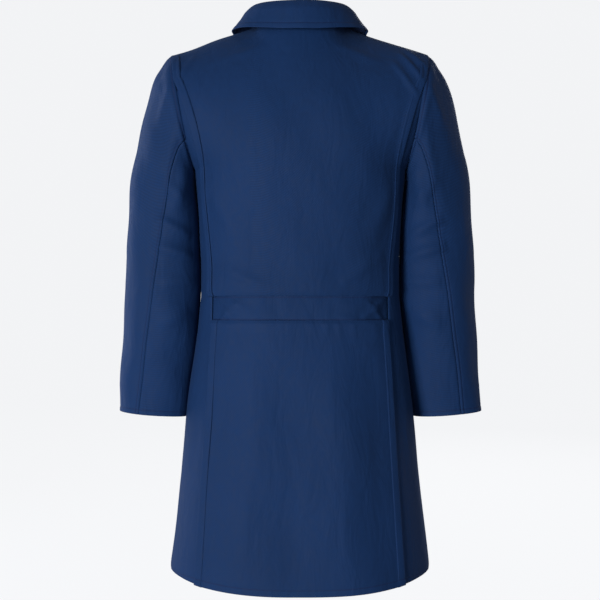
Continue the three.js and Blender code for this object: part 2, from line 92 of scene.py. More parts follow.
CLOTH = 0.7
TURN_RADIUS = 1.1
GRID_STEP = 4.0
EDGE_STEP = 1.6
EDGE_ZONE = 16
STITCH_DIP = 0.6
STITCH_WIDTH = 1.5
SEAM_RIDGE = 0.5
SEAM_DIP = 1.1
SEAM_WIDTH = 2.2
NO_STITCH = 99.0
EDGE_TURN = 4


def lerp(a, b, t):
    return a + (b - a) * t


def ease(x, low, high):
    t = np.clip((x - low) / (high - low), 0, 1)
    return t * t * (3 - 2 * t)


def down_body(z, sizes):
    """A width or depth at height z: drawn in from the chest to the waist, then straight out to the hem."""
    chest, waist, hem = sizes
    t = np.clip((ARMPIT_Z - z) / (ARMPIT_Z - WAIST_Z), 0, 1)
    upper = waist + (chest - waist) * (1 - t) ** 2
    return np.where(z > WAIST_Z, upper, lerp(waist, hem, (WAIST_Z - z) / (WAIST_Z - HEM_Z)))


def z_at(v):
    return lerp(ARMPIT_Z, HEM_Z, v - 1)


def v_at(z):
    return 1 + (ARMPIT_Z - z) / (ARMPIT_Z - HEM_Z)


def u_at(x, z):
    """How far round from the centre back (0) to the side (1) a point x from the centre lies."""
    share = np.clip(np.abs(x) / down_body(z, HALF_WIDTHS), 0, 1) ** (SECTION_POWER / 2)
    return np.sign(x) * np.arcsin(share) * 2 / math.pi


def section(w, v):
    """The coat's outline at v, below the armpit."""
    z = z_at(v)
    angle = w * math.pi / 2
    c = np.cos(angle)
    depth = np.where(c > 0, down_body(z, BACK_DEPTHS), down_body(z, FRONT_DEPTHS))
    x = down_body(z, HALF_WIDTHS) * np.abs(np.sin(angle)) ** (2 / SECTION_POWER)
    y = -depth * np.sign(c) * np.abs(c) ** (2 / SECTION_POWER)
    tail = np.where(c > 0, TAIL_DROP * c * c * np.clip((v - 1.4) / 0.6, 0, 1) ** 2, 0)
    return np.stack([x, y, z - tail], -1)


def points(x, y, z):
    return np.stack(np.broadcast_arrays(x, y, z), -1).astype(float)


def armhole(a, depth):
    """The armhole seam, at the angle a from the shoulder tip (0) to the armpit (pi)."""
    share = ((1 - np.cos(a)) / 2)[..., None]
    p = SHOULDER_TIP + (ARMPIT - SHOULDER_TIP) * share
    p[..., 1] = depth * np.sin(a)
    return p


def neck_back(t):
    a = t * math.pi / 2
    return points(NECK_HALF_WIDTH * np.sin(a), -NECK_BACK_DEPTH * np.cos(a),
                  NECK_POINT_RISE * (1 - np.cos(a)))


def neckline(t):
    chest = FRONT_DEPTHS[0]
    return points(NECK_HALF_WIDTH * (1 - t), chest * np.sin(t * math.pi / 2) ** 0.9,
                  lerp(NECK_POINT_RISE, ARMPIT_Z, t))


def back_top(s):
    shoulder = NECK_POINT + (SHOULDER_TIP - NECK_POINT) * ((s - NECK_SHARE) / (1 - NECK_SHARE))[..., None]
    return np.where((s < NECK_SHARE)[..., None], neck_back(np.clip(s / NECK_SHARE, 0, 1)), shoulder)


def back_centre(t):
    return points(0 * t, -lerp(NECK_BACK_DEPTH, BACK_DEPTHS[0], np.sin(t * math.pi / 2) ** 0.9), ARMPIT_Z * t)


def front_shoulder(s):
    return SHOULDER_TIP + (NECK_POINT - SHOULDER_TIP) * s[..., None]


def fill_edges(top, bottom, start, end, s, t):
    """A surface filled in between four edges."""
    zero, one = np.zeros_like(s), np.ones_like(s)
    s3, t3 = s[..., None], t[..., None]
    corners = (top(zero) * (1 - s3) * (1 - t3) + top(one) * s3 * (1 - t3)
               + bottom(zero) * (1 - s3) * t3 + bottom(one) * s3 * t3)
    return top(s) * (1 - t3) + bottom(s) * t3 + start(t) * (1 - s3) + end(t) * s3 - corners


def body_form(u, v):
    """The coat's outer form in mm. u runs round from the centre back (0) over the side (1) to the centre
    front (2), and v down from the neck (0) over the armpit (1) to the hem (2)."""
    u, v = np.broadcast_arrays(np.asarray(u, float), np.asarray(v, float))
    turned = np.where(u > 2, u - 4, np.where(u < -2, u + 4, u))
    w = np.abs(turned)
    t = np.clip(v, 0, 1)
    low = section(w, np.clip(v, 1, None))
    back = fill_edges(back_top, lambda s: section(s, np.ones_like(s)), back_centre,
                      lambda q: armhole(q * math.pi, -ARMHOLE_BACK_DEPTH), np.clip(w, 0, 1), t)
    front = fill_edges(front_shoulder, lambda s: section(1 + s, np.ones_like(s)),
                       lambda q: armhole(q * math.pi, ARMHOLE_FRONT_DEPTH), neckline,
                       np.clip(w - 1, 0, 1), t)
    p = np.where((v >= 1)[..., None], low, np.where((w <= 1)[..., None], back, front))
    p[..., 0] *= np.where(turned < 0, -1, 1)
    return p


def stations(length, turn_start=0, turn_end=0):
    """Places along one side of a sheet: 0..1 on it, and the mm of turning past each end."""
    zone = min(EDGE_ZONE, length / 3)
    edge = np.arange(0, zone, EDGE_STEP)
    middle = np.linspace(zone, length - zone, max(2, int((length - 2 * zone) / GRID_STEP)))
    main = np.concatenate([edge, middle, length - edge[::-1]]) / length

    def turning(width):
        if not width:
            return np.zeros(0)
        bend = np.linspace(0, math.pi * TURN_RADIUS, 7)[1:]
        return np.concatenate([bend, np.linspace(bend[-1], width, 4)[1:]])

    before, after = turning(turn_start), turning(turn_end)
    place = np.concatenate([np.zeros(len(before)), main, np.ones(len(after))])
    over = np.concatenate([-before[::-1], np.zeros(len(main)), after])
    return place, over


def turn_under(over):
    """How a turned edge moves: along the cloth past the edge, and inwards."""
    arc = np.clip(np.abs(over) / TURN_RADIUS, 0, math.pi)
    past = TURN_RADIUS * np.sin(arc) - np.clip(np.abs(over) - math.pi * TURN_RADIUS, 0, None)
    return np.sign(over) * past, -TURN_RADIUS * (1 - np.cos(arc))


def unit(a):
    return a / np.maximum(np.linalg.norm(a, axis=-1, keepdims=True), 1e-9)


def sew(name, surface, outward, turns=(0, 0, 0, 0), lift=1.0, relief=None, stitched=(0, 0, 0, 0),
        thickness=CLOTH, relax=0):
    """A sheet of cloth on surface(s, t), as a grid whose edges (left, right, top, bottom) may be turned
    under. stitched gives the distance of the topstitching from each edge, or 0 for none. relax is how
    many times each row below the top edge is smoothed sideways."""
    width, length = cut_size(surface)
    s_main, s_over = stations(width, turns[0], turns[1])
    t_main, t_over = stations(length, turns[2], turns[3])
    s, t = np.meshgrid(s_main, t_main)
    over_s, over_t = np.meshgrid(s_over, t_over)
    step = 1e-3
    p = surface(s, t)
    across = unit(surface(np.clip(s + step, 0, 1), t) - surface(np.clip(s - step, 0, 1), t))
    along = unit(surface(s, np.clip(t + step, 0, 1)) - surface(s, np.clip(t - step, 0, 1)))
    normal = unit(np.cross(across, along))
    share = 0.5 * (ease(t, 0.02, 0.2) * ease(np.minimum(s, 1 - s), 0, 0.05))[:, 1:-1, None]
    for grid in (p, normal):
        for _ in range(relax):
            grid[:, 1:-1] += share * ((grid[:, :-2] + grid[:, 2:]) / 2 - grid[:, 1:-1])
    normal = unit(normal)
    normal = normal * np.sign(np.sum(normal * outward(p, s, t), -1, keepdims=True))
    steps_s = np.linalg.norm(np.diff(p, axis=1), axis=-1) + np.abs(np.diff(over_s, axis=1))
    steps_t = np.linalg.norm(np.diff(p, axis=0), axis=-1) + np.abs(np.diff(over_t, axis=0))
    run_s = np.pad(np.cumsum(steps_s, axis=1), ((0, 0), (1, 0)))
    run_t = np.pad(np.cumsum(steps_t, axis=0), ((1, 0), (0, 0)))
    gaps = (run_s + s_over[0], run_s[:, -1:] - run_s - s_over[-1],
            run_t + t_over[0], run_t[-1:] - run_t - t_over[-1])
    height = np.full(s.shape, float(lift))
    if relief:
        height = height + relief(p, s, t)
    seam = [np.full(s.shape, NO_STITCH), np.full(s.shape, NO_STITCH)]
    for edge, turned in enumerate(turns):
        if not turned:
            height = height - SEAM_DIP * np.exp(-(gaps[edge] / SEAM_WIDTH) ** 2)
    for edge, distance in enumerate(stitched):
        if distance:
            gap = gaps[edge] - distance
            height = height - STITCH_DIP * np.exp(-(gap / STITCH_WIDTH) ** 2)
            height = height + SEAM_RIDGE * ease(gap, 1.0, -1.0)
            seam[edge // 2] = np.minimum(seam[edge // 2], gap)
    slide_s, drop_s = turn_under(over_s)
    slide_t, drop_t = turn_under(over_t)
    p = p + across * slide_s[..., None] + along * slide_t[..., None]
    p = p + normal * (height + drop_s + drop_t)[..., None]
    p[..., 1] += BODY_CENTRE_Y

    columns, rows = len(s_main) - 1, len(t_main) - 1
    bm = bmesh.new()
    bmesh.ops.create_grid(bm, x_segments=columns, y_segments=rows, size=0.5)
    i = np.array([round((vert.co.x + 0.5) * columns) for vert in bm.verts])
    j = np.array([round((vert.co.y + 0.5) * rows) for vert in bm.verts])
    for vert, place in zip(bm.verts, p[j, i] * MM):
        vert.co = place
    bm.normal_update()
    middle = min(bm.verts, key=lambda v: abs(i[v.index] - columns // 2) + abs(j[v.index] - rows // 2))
    if middle.normal.dot(Vector(normal[j[middle.index], i[middle.index]])) < 0:
        bmesh.ops.reverse_faces(bm, faces=bm.faces)
    mesh = bpy.data.meshes.new(name)
    bm.to_mesh(mesh)
    bm.free()
    corners = np.zeros(len(mesh.loops), int)
    mesh.loops.foreach_get("vertex_index", corners)
    for layer, a, b in (("cloth", run_s - run_s[:, -1:] / 2, run_t), ("stitch", *seam)):
        pairs = np.stack([a[j, i][corners], b[j, i][corners]], -1) * MM
        mesh.uv_layers.new(name=layer).data.foreach_set("uv", pairs.astype(np.float32).ravel())
    mesh.polygons.foreach_set("use_smooth", np.ones(len(mesh.polygons), bool))
    piece = bpy.data.objects.new(name, mesh)
    bpy.context.scene.collection.objects.link(piece)
    solid = piece.modifiers.new("cloth thickness", "SOLIDIFY")
    solid.thickness = thickness * MM
    solid.offset = -1
    return piece


def row_length(surface, t, count=60):
    s = np.linspace(0, 1, count)
    p = surface(s, np.full(count, t))
    return float(np.sum(np.linalg.norm(np.diff(p, axis=0), axis=-1)))


def cut_size(surface):
    """The flat width and length of a sheet: its longest row and its middle column, in mm."""
    width = max(row_length(surface, t) for t in (0.02, 0.25, 0.5, 0.75, 0.98))
    t = np.linspace(0, 1, 60)
    middle = surface(np.full(60, 0.5), t)
    return width, float(np.sum(np.linalg.norm(np.diff(middle, axis=0), axis=-1)))


def from_axis(p, s, t):
    """Outwards from the coat's middle line, and upwards over the shoulders."""
    up = np.where(p[..., 2] > -90, 60.0, 0.0)
    return np.stack([p[..., 0] * 0.6, p[..., 1], up], -1)


def panel(start, end, top, bottom):
    """A surface on the coat between two edges u = start(v) and u = end(v)."""
    def surface(s, t):
        v = lerp(top, bottom, t)
        return body_form(lerp(start(v), end(v), s), v)
    return surface


def fold(p, start, end, width, height):
    """A soft crease in the cloth between two (x, z) points, in mm, tapering at its ends."""
    a, b = np.array(start, float), np.array(end, float)
    along = b - a
    q = p[..., [0, 2]] - a
    t = np.sum(q * along, -1) / np.dot(along, along)
    across = np.abs(q[..., 0] * along[1] - q[..., 1] * along[0]) / np.linalg.norm(along)
    return height * np.exp(-(across / width) ** 2) * np.sin(np.clip(t, 0, 1) * math.pi) ** 0.7


def drift(p, size, height, phase=0.0):
    """Slow unevenness of hanging cloth, as three crossing waves."""
    x, z = p[..., 0] / size, p[..., 2] / size
    waves = (np.sin(x * 2.1 + z * 0.7 + phase) + np.sin(x * 0.9 - z * 1.7 + 2.3 * phase + 1.0)
             + np.sin(x * 3.3 + z * 2.2 + 1.7 * phase + 4.0))
    return height * waves / 3


def linear(hex_colour):
    """An sRGB hex colour as the linear values that Blender's sockets take."""
    values = [int(hex_colour[k:k + 2], 16) / 255 for k in (1, 3, 5)]
    return tuple(c / 12.92 if c <= 0.04045 else ((c + 0.055) / 1.055) ** 2.4 for c in values) + (1.0,)


def node(tree, kind, links=None, **settings):
    """Adds a node, sets its properties or input values, and links its inputs."""
    made = tree.nodes.new(kind)
    for key, value in settings.items():
        if hasattr(made, key):
            setattr(made, key, value)
        else:
            made.inputs[key.replace("_", " ")].default_value = value
    for key, source in (links or {}).items():
        tree.links.new(source, made.inputs[key])
    return made


# Navy poly-cotton twill, piece dyed and pressed: matt, with a faint diagonal rib and a soft
# light-blue sheen where it turns away. A real rib is about 0.5 mm; here it is drawn at 1.6 mm.
TWILL_RIB = 1.6 * MM
DIAGONAL_BAND = 0.222               # what one diagonal band of a wave texture measures at scale 1
SLUB = 0.9 * MM
STITCH_PITCH = 3.2 * MM
THREAD_HALF = (0.4 * MM, 1.2 * MM)
THREAD = "#0c2149"
SHEEN_TINT = "#8fb0e8"
CREASES_PER_METRE = (26, 26, 9)     # shallow, mostly upright unevenness of cloth that hangs
CREASE_HEIGHT = 3 * MM


def twill(name, base, shade, sheen):
    material = bpy.data.materials.new(name)
    material.use_nodes = True
    tree = material.node_tree
    shader = tree.nodes["Principled BSDF"]
    cloth = node(tree, "ShaderNodeUVMap", uv_map="cloth").outputs["UV"]
    seam = node(tree, "ShaderNodeUVMap", uv_map="stitch").outputs["UV"]
    place = node(tree, "ShaderNodeTexCoord").outputs["Object"]
    rib = node(tree, "ShaderNodeTexWave", {"Vector": cloth}, wave_type="BANDS", bands_direction="DIAGONAL",
               Scale=DIAGONAL_BAND / TWILL_RIB, Distortion=0.6, Detail=1.0).outputs["Fac"]
    slub = node(tree, "ShaderNodeTexNoise", {"Vector": cloth}, Scale=1 / SLUB, Detail=3.0,
                Roughness=0.6).outputs["Fac"]
    cloudy = node(tree, "ShaderNodeTexNoise", {"Vector": place}, Scale=5.0, Detail=3.0).outputs["Fac"]
    mottle = node(tree, "ShaderNodeTexNoise", {"Vector": place}, Scale=90.0, Detail=4.0).outputs["Fac"]
    colour = node(tree, "ShaderNodeMix", {0: cloudy}, data_type="RGBA")
    colour.inputs[6].default_value = linear(shade)
    colour.inputs[7].default_value = linear(base)
    grain = node(tree, "ShaderNodeMath", {0: rib, 1: slub}, operation="ADD").outputs[0]
    grain = node(tree, "ShaderNodeMath", {0: grain, 1: mottle}, operation="ADD").outputs[0]
    light = node(tree, "ShaderNodeMapRange", {"Value": grain}, From_Min=0.6, From_Max=2.4,
                 To_Min=0.8, To_Max=1.18).outputs[0]
    toned = node(tree, "ShaderNodeVectorMath", {0: colour.outputs[2], 3: light}, operation="SCALE")
    gaps = node(tree, "ShaderNodeSeparateXYZ", {0: seam})
    runs = node(tree, "ShaderNodeSeparateXYZ", {0: cloth})
    threads = []
    for gap, way in (("X", "Y"), ("Y", "X")):
        off = node(tree, "ShaderNodeMath", {0: gaps.outputs[gap]}, operation="ABSOLUTE").outputs[0]
        near = node(tree, "ShaderNodeMapRange", {"Value": off}, From_Min=THREAD_HALF[0],
                    From_Max=THREAD_HALF[1], To_Min=1.0, To_Max=0.0).outputs[0]
        turn = node(tree, "ShaderNodeMath", {0: runs.outputs[way]}, operation="MULTIPLY")
        turn.inputs[1].default_value = 2 * math.pi / STITCH_PITCH
        dash = node(tree, "ShaderNodeMath", {0: turn.outputs[0]}, operation="SINE").outputs[0]
        dash = node(tree, "ShaderNodeMapRange", {"Value": dash}, From_Min=-0.9, From_Max=-0.3,
                    To_Min=0.3, To_Max=1.0).outputs[0]
        threads.append(node(tree, "ShaderNodeMath", {0: near, 1: dash}, operation="MULTIPLY").outputs[0])
    thread = node(tree, "ShaderNodeMath", {0: threads[0], 1: threads[1]}, operation="MAXIMUM").outputs[0]
    sewn = node(tree, "ShaderNodeMix", {0: thread, 6: toned.outputs[0]}, data_type="RGBA")
    sewn.inputs[7].default_value = linear(THREAD)
    tree.links.new(sewn.outputs[2], shader.inputs["Base Color"])
    height = node(tree, "ShaderNodeMath", {0: grain, 1: thread}, operation="ADD").outputs[0]
    hanging = node(tree, "ShaderNodeMapping", {"Vector": place})
    hanging.inputs["Scale"].default_value = CREASES_PER_METRE
    crease = node(tree, "ShaderNodeTexNoise", {"Vector": hanging.outputs[0]}, Scale=1.0, Detail=3.0,
                  Roughness=0.55, Distortion=0.6).outputs["Fac"]
    drape = node(tree, "ShaderNodeBump", {"Height": crease}, Strength=1.0, Distance=CREASE_HEIGHT)
    bump = node(tree, "ShaderNodeBump", {"Height": height, "Normal": drape.outputs[0]}, Strength=0.25,
                Distance=0.4 * MM)
    tree.links.new(bump.outputs["Normal"], shader.inputs["Normal"])
    rough = node(tree, "ShaderNodeMapRange", {"Value": mottle}, To_Min=0.68, To_Max=0.86).outputs[0]
    tree.links.new(rough, shader.inputs["Roughness"])
    shader.inputs["Sheen Weight"].default_value = sheen
    shader.inputs["Sheen Roughness"].default_value = 0.45
    shader.inputs["Sheen Tint"].default_value = linear(SHEEN_TINT)
    shader.inputs["Specular IOR Level"].default_value = 0.22
    return material


navy = twill("navy poly-cotton twill", "#0b2f5e", "#092850", sheen=0.07)
# The same twill again with darker colours: painted shade for the inner and under pieces (band lining, neck
# facing, collar stand, under collar, cuff facings), which lie in shadow.
navy_painted_shade = twill("navy twill with painted shade, inner faces", "#091e42", "#071938", sheen=0.05)


def finish_cloth(piece, replaces, body="torso", bend=None, material=navy):
    piece.data.materials.append(material)
    if bend:
        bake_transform(piece)
    else:
        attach(piece, body)
    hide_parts(*replaces)


V_WAIST = v_at(WAIST_Z)
LOW_PLEAT = float(u_at(np.array(float(PLEAT_X[0])), np.array(float(ARMPIT_Z))))
PLEAT_DEPTH = 18


def pleat_edge(v):
    """The pressed edge of the pleat, which ends the panel's visible side."""
    z = z_at(np.maximum(v, 1))
    below = u_at(lerp(*PLEAT_X, np.clip((v - 1) / (V_WAIST - 1), 0, 1)), z)
    above = lerp(1, LOW_PLEAT, np.clip((v - PLEAT_TOP) / (1 - PLEAT_TOP), 0, 1))
    return np.where(v >= 1, below, above)


def back_relief(p, s, t):
    edge = np.minimum(s, 1 - s)
    stand = 2.6 * ease(edge, 0.06, 0.0) * ease(t, 0.2, 0.45)
    blade = 4.0 * np.exp(-((np.abs(p[..., 0]) - 95) / 60) ** 2 - ((p[..., 2] + 190) / 80) ** 2)
    creases = (fold(p, (178, -48), (222, -112), 5, 2.4) + fold(p, (192, -40), (230, -86), 5, 2.0)
               + fold(p, (164, -66), (212, -142), 6, 2.2) + fold(p, (-190, -56), (-224, -120), 6, 1.8)
               + fold(p, (-150, -440), (-60, -478), 9, 2.2) + fold(p, (150, -420), (70, -472), 9, 2.0)
               + fold(p, (-170, -290), (-110, -390), 15, 2.4) + fold(p, (168, -290), (120, -400), 15, 2.2)
               + fold(p, (-60, -40), (-150, -76), 9, 1.6) + fold(p, (60, -40), (150, -76), 9, 1.6))
    puff = 3.0 * ease(p[..., 2], WAIST_Z + 60, WAIST_Z + 8) * ease(p[..., 2], WAIST_Z - 6, WAIST_Z + 8)
    return stand + blade * 0.6 + 1.6 * creases + puff + drift(p, 60, 1.8, 0.4)


upper = panel(lambda v: -pleat_edge(v), pleat_edge, PANEL_TOP, V_WAIST)
back_upper = sew("back_upper_panel", upper, from_axis, turns=(PLEAT_DEPTH, PLEAT_DEPTH, 0, 5),
                 relief=back_relief, relax=150)
finish_cloth(back_upper, ["back_upper"])

# ---- Side backs ------------------------------------------------------------------------------------
# Two side panels run from the armhole to the hem. They lie under the pleats at the back and end in an
# open vent at each side seam, with the back corner of the vent cut round.

PLEAT_UNDERLAP = 22
PLEAT_RELEASE = 26
BAND_MARGIN = 3
BAND_END_X = 164
BAND_END_GAP = -3
SKIRT_X = (158, 183)
V_SKIRT = v_at(WAIST_Z - WAISTBAND_HEIGHT)
VENT_LENGTH = 190
V_VENT = v_at(HEM_Z + VENT_LENGTH)
VENT_GAP = 3
VENT_CORNER = 46
QUARTER_HEM = 330
HEM_TURN = 20
HEM_STITCH = 10
SIDE_BACK_TOP = PLEAT_TOP + 0.06
SIDE_BACK_LIFT = -2.1


def skirt_x(v):
    return lerp(*SKIRT_X, np.clip((v - V_SKIRT) / (2 - V_SKIRT), 0, 1))


def side_back_edge(v):
    """The side panel's inner edge: under the pleat, but beside the waistband where that lies open."""
    z = z_at(np.maximum(v, 1))
    below = u_at(np.where(v < V_SKIRT, PLEAT_X[1], skirt_x(v)), z)
    edge = np.where(v < V_WAIST, pleat_edge(v), below)
    under = edge - PLEAT_UNDERLAP / (down_body(z, HALF_WIDTHS) * math.pi / 2)
    from_band = np.abs(z - WAIST_Z + WAISTBAND_HEIGHT / 2) - WAISTBAND_HEIGHT / 2 - BAND_MARGIN
    beside = u_at(np.full(np.shape(z), float(BAND_END_X + BAND_END_GAP)), z)
    return lerp(beside, under, ease(from_band, 0, PLEAT_RELEASE))


def vent_edge(v):
    """The side seam, opening into the vent and rounded off at the hem."""
    above_hem = np.clip((2 - v) * (ARMPIT_Z - HEM_Z), 0, VENT_CORNER)
    corner = VENT_CORNER - np.sqrt(VENT_CORNER ** 2 - (VENT_CORNER - above_hem) ** 2)
    gap = np.where(v > V_VENT, VENT_GAP + corner, 0)
    return 1 - gap / QUARTER_HEM


def same(surface):
    return surface


def mirrored(surface):
    return lambda s, t: surface(s, t) * np.array([-1.0, 1.0, 1.0])


def side_relief(p, s, t):
    gathers = fold(p, (186, -560), (205, -800), 14, 2.2) + fold(p, (-186, -560), (-210, -820), 15, 2.6)
    pull = fold(p, (178, -300), (190, -420), 9, 1.5) + fold(p, (-178, -330), (-188, -430), 9, 1.5)
    full = 2.6 * ease(np.abs(p[..., 0]) - down_body(p[..., 2], HALF_WIDTHS), -30, -2)
    return gathers + pull + full + drift(p, 70, 1.6, 1.9)


for side, turn in (("right", same), ("left", mirrored)):
    surface = turn(panel(side_back_edge, vent_edge, SIDE_BACK_TOP, 2))
    side_back = sew(f"side_back_panel_{side}", surface, from_axis, turns=(0, 0, 0, HEM_TURN),
                    lift=SIDE_BACK_LIFT, relief=side_relief, stitched=(0, 0, 0, HEM_STITCH))
    finish_cloth(side_back, [f"side_back_{side}"])

# ---- Waistband -------------------------------------------------------------------------------------
# A doubled belt set in between the upper back and the skirt. It is sewn along both long edges, lies a
# little deeper than its neighbours and is drawn in at its ends, where it creases on a slant.

BAND_LIFT = -2.0
LINING_INSET = 14
LINING_LIFT = -3.8
BAND_END_DEPTH = 4.5
BAND_STITCH = 3


def band_depth(p, s, t):
    """The ends of the band are drawn in under the pleats."""
    return BAND_END_DEPTH * ease(np.abs(p[..., 0]), 112, 158)


def band_relief(p, s, t):
    drawn = (fold(p, (-158, -500), (-118, -540), 6, 3.0) + fold(p, (-150, -542), (-104, -498), 5, 2.2)
             + fold(p, (-128, -504), (-82, -524), 6, 1.8) + fold(p, (-96, -538), (-52, -516), 7, 1.2)
             + fold(p, (158, -500), (112, -534), 6, 3.0) + fold(p, (154, -542), (118, -500), 5, 2.4)
             + fold(p, (126, -504), (72, -520), 7, 1.8) + fold(p, (104, -540), (58, -526), 7, 1.4)
             + fold(p, (22, -498), (14, -540), 6, 1.0) + fold(p, (-24, -500), (-30, -538), 7, 0.9)
             + fold(p, (50, -500), (46, -536), 5, 0.9))
    return drawn + drift(p, 26, 1.0, 3.1) - band_depth(p, s, t)


def band_surface(end_x):
    edge = lambda v: u_at(np.full(np.shape(v), float(end_x)), z_at(v))
    return panel(lambda v: -edge(v), edge, V_WAIST, V_SKIRT)


waistband = sew("waistband", band_surface(BAND_END_X), from_axis,
                turns=(EDGE_TURN, EDGE_TURN, EDGE_TURN, EDGE_TURN), lift=BAND_LIFT, relief=band_relief,
                stitched=(0, 0, BAND_STITCH, BAND_STITCH))
finish_cloth(waistband, ["back_waistband"])
band_lining = sew("waistband_lining_strip", band_surface(BAND_END_X - LINING_INSET), from_axis,
                  lift=LINING_LIFT, relief=lambda p, s, t: -band_depth(p, s, t))
finish_cloth(band_lining, ["waistband_lining"], material=navy_painted_shade)

# ---- Skirt -----------------------------------------------------------------------------------------
# The centre back of the skirt hangs from the waistband. Its sides are pressed under to carry the
# pleats down to the hem, and a little fullness is eased into the seam below the band.

SKIRT_TURN = 18


def skirt_edge(v):
    return u_at(skirt_x(v), z_at(v))


def skirt_relief(p, s, t):
    x, z = p[..., 0], p[..., 2]
    below = WAIST_Z - WAISTBAND_HEIGHT - z
    eased = sum(height * np.exp(-((x - centre - lean * below) / width) ** 2)
                for centre, lean, width, height in (
                    (-124, -0.1, 8, 1.0), (-62, 0.1, 6, 0.6), (20, 0.15, 6, 1.0), (47, -0.1, 5, 1.4),
                    (66, 0.2, 6, 1.5), (93, 0.1, 5, 1.2), (131, 0.1, 7, 0.9)))
    eased = eased * ease(below, 0, 8) * ease(below, 46, 8)
    hang = (fold(p, (-70, -560), (-104, -1010), 26, 4.0) + fold(p, (58, -560), (88, -1015), 30, 3.6)
            + fold(p, (-6, -640), (-14, -1040), 34, -3.0) + fold(p, (128, -600), (150, -1010), 18, -2.0)
            + fold(p, (-132, -590), (-160, -1010), 18, -2.0))
    edge = np.minimum(s, 1 - s)
    stand = 1.3 * ease(edge, 0.06, 0.0)
    roll = 1.2 * ease(below, 22, 6) * ease(below, 0, 5)
    return eased + 1.3 * hang + stand + roll + drift(p, 80, 2.2, 0.9)


skirt_surface = panel(lambda v: -skirt_edge(v), skirt_edge, V_SKIRT, 2)
skirt = sew("skirt_panel", skirt_surface, from_axis, turns=(SKIRT_TURN, SKIRT_TURN, 5, HEM_TURN),
            relief=skirt_relief, stitched=(0, 0, 0, HEM_STITCH))
finish_cloth(skirt, ["back_skirt"])

# ---- Neck facing and hanger loop -------------------------------------------------------------------
# Inside the back neck a facing of the same twill lines the top of the back, and a narrow tape loop is
# sewn into the collar seam to hang the coat from.

FACING_SHARE = 6 / 16
FACING_BOTTOM = PANEL_TOP + 2 * (V_WAIST - PANEL_TOP) / 12
FACING_LIFT = -5.0
FACING_STITCH = 3

facing_surface = panel(lambda v: -FACING_SHARE, lambda v: FACING_SHARE, PANEL_TOP, FACING_BOTTOM)
neck_facing = sew("neck_facing_panel", facing_surface, from_axis, turns=(0, 0, 0, EDGE_TURN),
                  lift=FACING_LIFT, stitched=(0, 0, 0, FACING_STITCH))
finish_cloth(neck_facing, ["neck_facing"], material=navy_painted_shade)

STRAIGHT_BAND = 0.314               # what one straight band of a wave texture measures at scale 1
TAPE_RIB = 0.0008


def tape_weave(name, colour, dark):
    """Woven cotton tape, dyed navy: matt, with fine ribs across it."""
    material = bpy.data.materials.new(name)
    material.use_nodes = True
    tree = material.node_tree
    shader = tree.nodes["Principled BSDF"]
    place = node(tree, "ShaderNodeTexCoord").outputs["Object"]
    ribs = node(tree, "ShaderNodeTexWave", {"Vector": place}, bands_direction="X",
                Scale=STRAIGHT_BAND / TAPE_RIB, Distortion=0.4).outputs["Fac"]
    mix = node(tree, "ShaderNodeMix", {0: ribs}, data_type="RGBA")
    mix.inputs[6].default_value = linear(dark)
    mix.inputs[7].default_value = linear(colour)
    tree.links.new(mix.outputs[2], shader.inputs["Base Color"])
    bump = node(tree, "ShaderNodeBump", {"Height": ribs}, Strength=0.4, Distance=0.3 * MM)
    tree.links.new(bump.outputs["Normal"], shader.inputs["Normal"])
    shader.inputs["Roughness"].default_value = 0.8
    return material


LOOP_HALF = 32
LOOP_DROP = 14
LOOP_SAG = 4
LOOP_TAPE = 7
LOOP_THICK = 1.0
LOOP_ROUNDING = 0.25
LOOP_END = (-NECK_BACK_DEPTH * math.sqrt(1 - (LOOP_HALF / NECK_HALF_WIDTH) ** 2) + 3, -4)
LOOP_STEPS = 32


def smooth_line(route, s):
    """A smooth line through the points of route, spaced by their distances, at s from 0 to 1."""
    route = np.array(route, float)
    ends = np.vstack([2 * route[0] - route[1], route, 2 * route[-1] - route[-2]])
    place = np.clip(np.asarray(s, float), 0, 1) * (len(route) - 1)
    k = np.minimum(place.astype(int), len(route) - 2)
    w = (place - k)[..., None]
    a, b, c, d = (ends[k + n] for n in range(4))
    gaps = [np.sqrt(np.linalg.norm(q - r, axis=-1, keepdims=True)) for q, r in ((b, a), (c, b), (d, c))]
    start = ((b - a) / gaps[0] - (c - a) / (gaps[0] + gaps[1]) + (c - b) / gaps[1]) * gaps[1]
    end = ((c - b) / gaps[1] - (d - b) / (gaps[1] + gaps[2]) + (d - c) / gaps[2]) * gaps[1]
    return b + start * w + (3 * (c - b) - 2 * start - end) * w ** 2 + (2 * (b - c) + start + end) * w ** 3


end_y, end_z = LOOP_END
loop_route = [(-LOOP_HALF, end_y, end_z), (-LOOP_HALF * 0.6, end_y, -LOOP_DROP),
              (0, end_y + 1, -LOOP_DROP - LOOP_SAG), (LOOP_HALF * 0.6, end_y, -LOOP_DROP),
              (LOOP_HALF, end_y, end_z)]
bm = bmesh.new()
across = Vector((0, LOOP_THICK / 2, 0))
path = smooth_line(loop_route, np.linspace(0, 1, LOOP_STEPS))
runs = unit(np.gradient(path, axis=0))
ring = None
for point, run in zip(path, runs):
    up = Vector(run).cross(Vector((0, 1, 0))).normalized() * (LOOP_TAPE / 2)
    centre = Vector(point) + Vector((0, BODY_CENTRE_Y, 0))
    new = [bm.verts.new((centre + a * across + b * up) * MM)
           for a, b in ((-1, -1), (1, -1), (1, 1), (-1, 1))]
    if ring:
        for k in range(4):
            bm.faces.new((ring[k], ring[(k + 1) % 4], new[(k + 1) % 4], new[k]))
    else:
        bm.faces.new(new)
    ring = new
bm.faces.new(ring[::-1])
bmesh.ops.recalc_face_normals(bm, faces=bm.faces)
bmesh.ops.bevel(bm, geom=bm.edges, offset=LOOP_ROUNDING * MM, segments=2, profile=0.5, affect="EDGES",
                material=-1)
mesh = bpy.data.meshes.new("hanger_tape")
bm.to_mesh(mesh)
bm.free()
hanger_tape = bpy.data.objects.new("hanger_tape", mesh)
bpy.context.scene.collection.objects.link(hanger_tape)
hanger_tape.data.materials.append(tape_weave("woven cotton tape", "#22395f", "#14233e"))
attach(hanger_tape, "loop")
